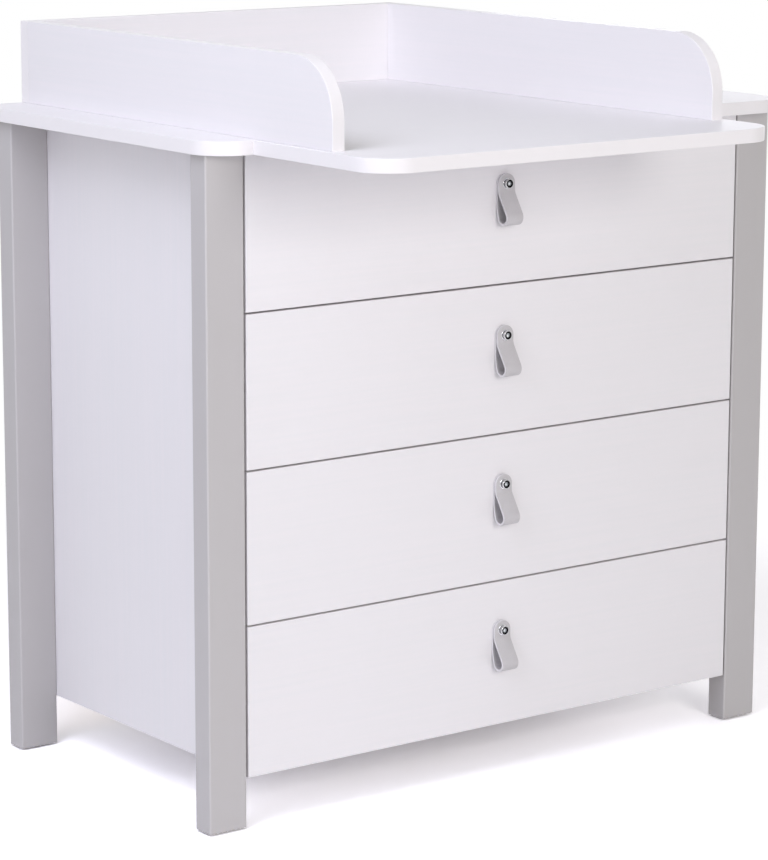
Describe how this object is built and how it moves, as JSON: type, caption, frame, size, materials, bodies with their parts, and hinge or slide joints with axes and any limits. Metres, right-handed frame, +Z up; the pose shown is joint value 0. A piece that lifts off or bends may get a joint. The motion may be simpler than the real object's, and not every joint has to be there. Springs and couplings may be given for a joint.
{
  "type": "changing dresser",
  "caption": "Changing dresser: chest of drawers between square posts, wide top with an offset front extension, low guards round the changing place, leather loop pulls.",
  "frame": {"origin": "on the floor, under the middle of the whole piece seen from above", "axes": "+X to the right for a person who faces the drawers, +Y to the back, +Z up"},
  "size_m": [0.96, 0.821, 1],
  "materials": {
    "white_laminate": "satin white melamine face on particle board, with a faint pressed wood-pore texture",
    "grey_paint": "light grey satin paint on wood",
    "white_fibreboard": "thin fibreboard, printed white on one face",
    "grey_leather": "smooth light grey leather with fine grain",
    "chrome": "polished",
    "zinc_steel": "zinc-plated strip steel and screws",
    "zinc_casting": "raw die-cast zinc",
    "beech": "bare beech",
    "grey_plastic": "moulded"
  },
  "bodies": {
    "root": {"back_panel": "white_fibreboard", "bottom_panel": "white_laminate", "cabinet_runners": "zinc_steel", "cam_bolts": "zinc_casting", "cam_discs": "zinc_casting", "dowels": "beech", "foot_glides": "grey_plastic", "front_extension": "white_laminate", "guard_back": "white_laminate", "guard_left": "white_laminate", "guard_right": "white_laminate", "guard_screws": "zinc_steel", "leg_front_left": "grey_paint", "leg_front_right": "grey_paint", "leg_rear_left": "grey_paint", "leg_rear_right": "grey_paint", "leg_screws": "zinc_steel", "runner_screws": "zinc_steel", "side_panel_left": "white_laminate", "side_panel_right": "white_laminate", "top_board": "white_laminate", "top_rail_front": "white_laminate", "top_rail_rear": "white_laminate", "top_screws": "zinc_steel"},
    "drawer_1": {"drawer_1_back": "white_laminate", "drawer_1_bottom": "white_fibreboard", "drawer_1_front": "white_laminate", "drawer_1_pull_bolt": "chrome", "drawer_1_pull_strap": "grey_leather", "drawer_1_runners": "zinc_steel", "drawer_1_side_left": "white_laminate", "drawer_1_side_right": "white_laminate"},
    "drawer_1_middle": {"drawer_1_middle_runners": "zinc_steel"},
    "drawer_2": {"drawer_2_back": "white_laminate", "drawer_2_bottom": "white_fibreboard", "drawer_2_front": "white_laminate", "drawer_2_pull_bolt": "chrome", "drawer_2_pull_strap": "grey_leather", "drawer_2_runners": "zinc_steel", "drawer_2_side_left": "white_laminate", "drawer_2_side_right": "white_laminate"},
    "drawer_2_middle": {"drawer_2_middle_runners": "zinc_steel"},
    "drawer_3": {"drawer_3_back": "white_laminate", "drawer_3_bottom": "white_fibreboard", "drawer_3_front": "white_laminate", "drawer_3_pull_bolt": "chrome", "drawer_3_pull_strap": "grey_leather", "drawer_3_runners": "zinc_steel", "drawer_3_side_left": "white_laminate", "drawer_3_side_right": "white_laminate"},
    "drawer_3_middle": {"drawer_3_middle_runners": "zinc_steel"},
    "drawer_4": {"drawer_4_back": "white_laminate", "drawer_4_bottom": "white_fibreboard", "drawer_4_front": "white_laminate", "drawer_4_pull_bolt": "chrome", "drawer_4_pull_strap": "grey_leather", "drawer_4_runners": "zinc_steel", "drawer_4_side_left": "white_laminate", "drawer_4_side_right": "white_laminate"},
    "drawer_4_middle": {"drawer_4_middle_runners": "zinc_steel"}
  },
  "joints": [
    {"name": "drawer_1_slide", "type": "slide", "parent": "root", "child": "drawer_1", "axis": [0, -1, 0], "range_m": [0, 0.45]},
    {"name": "drawer_1_middle_slide", "type": "slide", "parent": "root", "child": "drawer_1_middle", "axis": [0, -1, 0], "range_m": [0, 0.225]},
    {"name": "drawer_2_slide", "type": "slide", "parent": "root", "child": "drawer_2", "axis": [0, -1, 0], "range_m": [0, 0.45]},
    {"name": "drawer_2_middle_slide", "type": "slide", "parent": "root", "child": "drawer_2_middle", "axis": [0, -1, 0], "range_m": [0, 0.225]},
    {"name": "drawer_3_slide", "type": "slide", "parent": "root", "child": "drawer_3", "axis": [0, -1, 0], "range_m": [0, 0.45]},
    {"name": "drawer_3_middle_slide", "type": "slide", "parent": "root", "child": "drawer_3_middle", "axis": [0, -1, 0], "range_m": [0, 0.225]},
    {"name": "drawer_4_slide", "type": "slide", "parent": "root", "child": "drawer_4", "axis": [0, -1, 0], "range_m": [0, 0.45]},
    {"name": "drawer_4_middle_slide", "type": "slide", "parent": "root", "child": "drawer_4_middle", "axis": [0, -1, 0], "range_m": [0, 0.225]}
  ],
  "couplings": [
    {"joint": "drawer_1_middle_slide", "follows": "drawer_1_slide", "ratio": 0.5},
    {"joint": "drawer_2_middle_slide", "follows": "drawer_2_slide", "ratio": 0.5},
    {"joint": "drawer_3_middle_slide", "follows": "drawer_3_slide", "ratio": 0.5},
    {"joint": "drawer_4_middle_slide", "follows": "drawer_4_slide", "ratio": 0.5}
  ]
}
